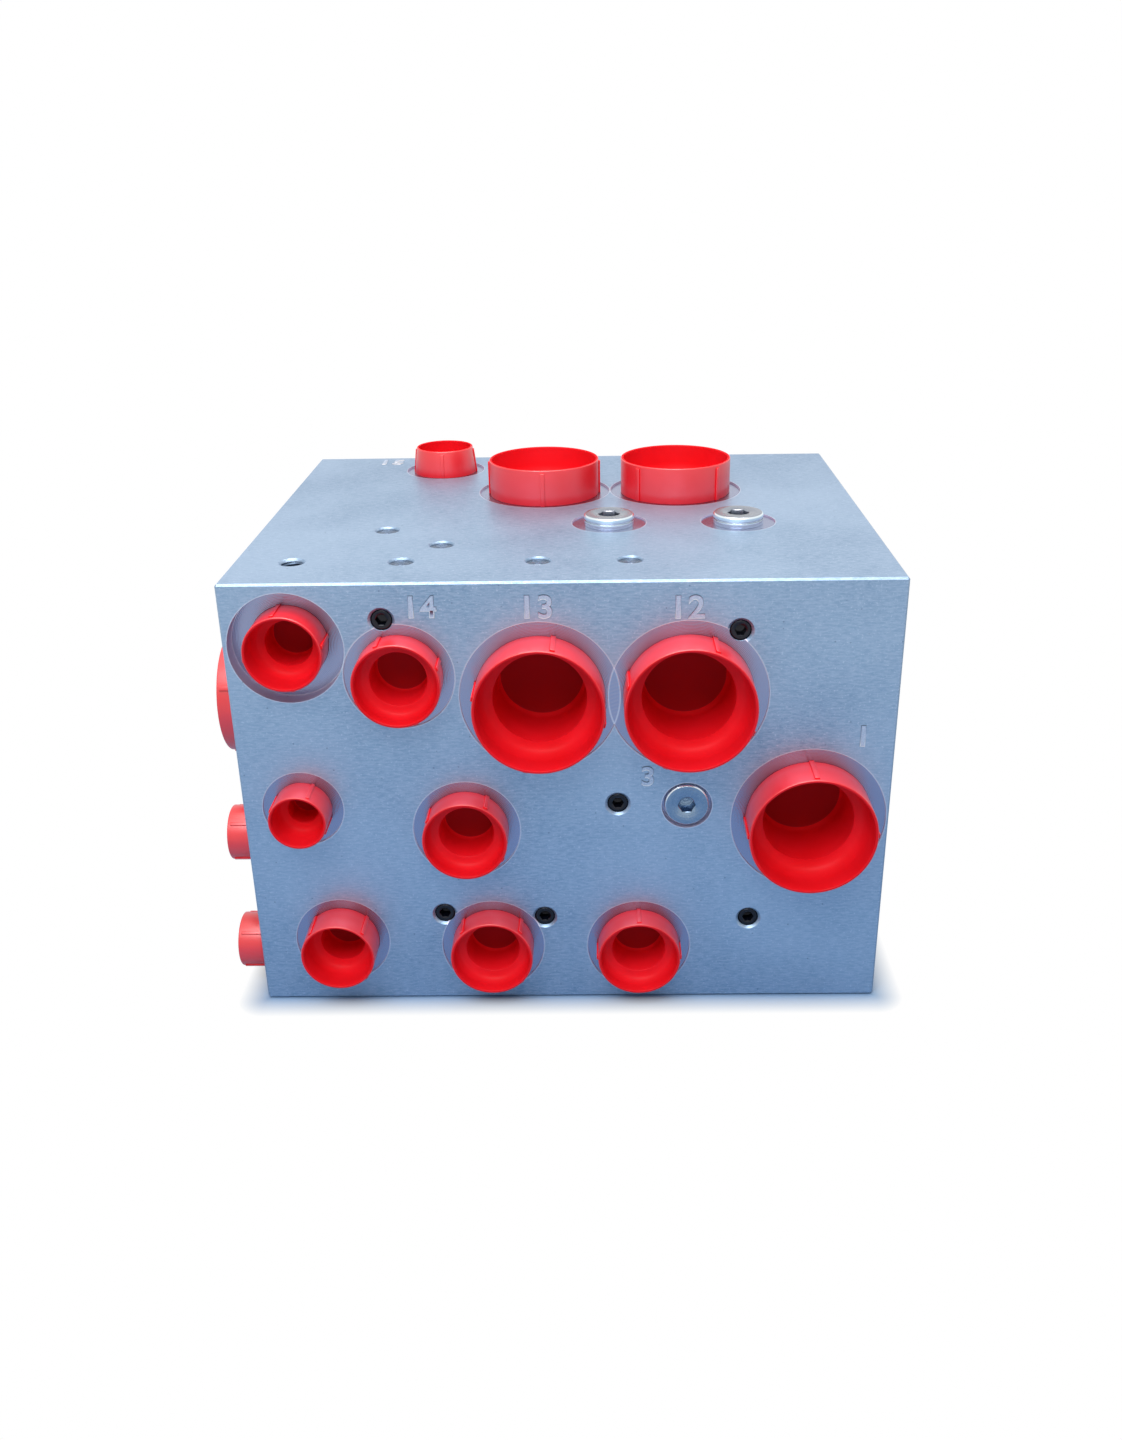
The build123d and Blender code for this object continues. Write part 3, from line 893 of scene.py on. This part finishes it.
# ---------------------------------------------------------------- engraved port numbers
PORT_NUMBERS = {  # face, middle across and up from the face's lower left corner, height of the figures
    "14": ("front", 73.6, 170.3, 8.0),
    "13": ("front", 115.8, 169.9, 8.4),
    "12": ("front", 170.5, 169.3, 8.4),
    "3": ("front", 156.7, 101.1, 7.6),
    "1": ("front", 237.5, 117.2, 8.2),
    "15": ("top", 37.0, 190.0, 8.4),
}
FIGURE_HEIGHT = 0.69  # height of a figure for a text size of 1
FIGURE_SINK = 0.05  # how far the figures' middle plane lies inside the face
for number, (face, across, up, height) in PORT_NUMBERS.items():
    lettering = bpy.data.curves.new(f"port_number_{number}", "FONT")
    lettering.body = number
    lettering.size = height / FIGURE_HEIGHT
    lettering.space_character = 1.1
    lettering.align_x = "CENTER"
    lettering.align_y = "CENTER"
    lettering.fill_mode = "FRONT"
    lettering.bevel_depth = 0.42
    lettering.bevel_resolution = 3
    lettering.resolution_u = 8
    holder = bpy.data.objects.new(f"port_number_{number}_outline", lettering)
    scene.collection.objects.link(holder)
    mesh = baked_mesh(holder)
    bpy.data.objects.remove(holder)
    across_axis, up_axis, out = FACE_AXES[face]
    corner = Vector((block_low.x, block_low.y, block_high.z if face == "top" else block_low.z))
    middle = corner + (across_axis * across + up_axis * up) * MM - out * FIGURE_SINK * MM
    mesh.transform(seat_at(face, middle) @ Matrix.Scale(MM, 4))
    mesh.shade_smooth()
    mesh.materials.clear()
    mesh.materials.append(mark_metals[face])
    piece = bpy.data.objects.new(f"port_number_{number}", mesh)
    scene.collection.objects.link(piece)
    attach(piece, "root")


# ---------------------------------------------------------------- floor and light
AMBIENT = 0.17  # strength of the room's light on the object
WHITE = (1, 1, 1, 1)
FLOOR_DROP = 0.3  # millimetres below the block, so that the two don't share a plane
FLOOR_SIZE = 6.0  # half of the floor's width, in metres


def seen_directly(finish):
    """Two wires: 1 on camera rays, and 1 on mirror and clear rays."""
    camera_ray = finish.node("ShaderNodeLightPath", {}, {}, "Is Camera Ray")
    glossy_ray = finish.node("ShaderNodeLightPath", {}, {}, "Is Glossy Ray")
    clear_ray = finish.node("ShaderNodeLightPath", {}, {}, "Is Transmission Ray")
    return camera_ray, glossy_ray + clear_ray


def floor_finish():
    """Pale blue floor that shades close to the block and is plain white away from it."""
    finish = new_finish("studio_floor")
    camera_ray, mirror_ray = seen_directly(finish)
    offset = finish.vector("ABSOLUTE", finish.place())
    beyond = finish.vector(
        "MAXIMUM", finish.vector("SUBTRACT", offset, tuple(block_high)), (0, 0, 0)
    )
    gap = finish.length(beyond)
    seen = camera_ray * finish.ramp(gap, 0.0, 0.012) + mirror_ray * finish.ramp(gap, 0.16, 0.5)
    pale = finish.node(
        "ShaderNodeBsdfPrincipled", {}, {"Base Color": srgb(146, 178, 210), "Roughness": 0.6}
    )
    white = finish.node("ShaderNodeEmission", {}, {"Color": WHITE, "Strength": 1.0})
    mixed = finish.node("ShaderNodeMixShader", {}, {0: seen.clamped(), 1: pale, 2: white})
    return finish.output(mixed)


floor_solid = bmesh.new()
bmesh.ops.create_grid(floor_solid, x_segments=1, y_segments=1, size=FLOOR_SIZE)
floor_mesh = bpy.data.meshes.new("studio_floor")
bmesh.ops.translate(floor_solid, vec=(0, 0, block_low.z - FLOOR_DROP * MM), verts=floor_solid.verts)
floor_solid.to_mesh(floor_mesh)
floor_solid.free()
floor_mesh.materials.append(floor_finish())
floor = bpy.data.objects.new("studio_floor", floor_mesh)
scene.collection.objects.link(floor)

scene.world = bpy.data.worlds.new("studio_room")
room = Finish(scene.world)
camera_ray, mirror_ray = seen_directly(room)
strength = room.ramp(camera_ray + mirror_ray, 0, 1, AMBIENT, 1.0)
backdrop = room.node("ShaderNodeBackground", {}, {"Color": WHITE, "Strength": strength})
room.node("ShaderNodeOutputWorld", {}, {"Surface": backdrop})


def softbox(name, place, target, width, height, power, colour):
    """Rectangular studio lamp that faces its target."""
    lamp = bpy.data.lights.new(name, "AREA")
    lamp.shape = "RECTANGLE"
    lamp.size, lamp.size_y = width, height
    lamp.energy = power
    lamp.color = colour
    holder = bpy.data.objects.new(name, lamp)
    facing = (Vector(target) - Vector(place)).to_track_quat("-Z", "Y").to_matrix().to_4x4()
    holder.matrix_world = Matrix.Translation(place) @ facing
    scene.collection.objects.link(holder)


LIT_POINT = (0, 0, 0.1)  # both lamps face a point near the middle of the block
softbox(
    "ceiling_softbox", (0.0, 0.0, 1.2), LIT_POINT,
    width=0.8, height=0.5, power=9.0, colour=(1.0, 0.88, 0.84),
)
softbox(
    "key_softbox", (-0.15, -0.8, 1.1), LIT_POINT,
    width=0.9, height=0.6, power=11.0, colour=(0.97, 0.98, 1.0),
)
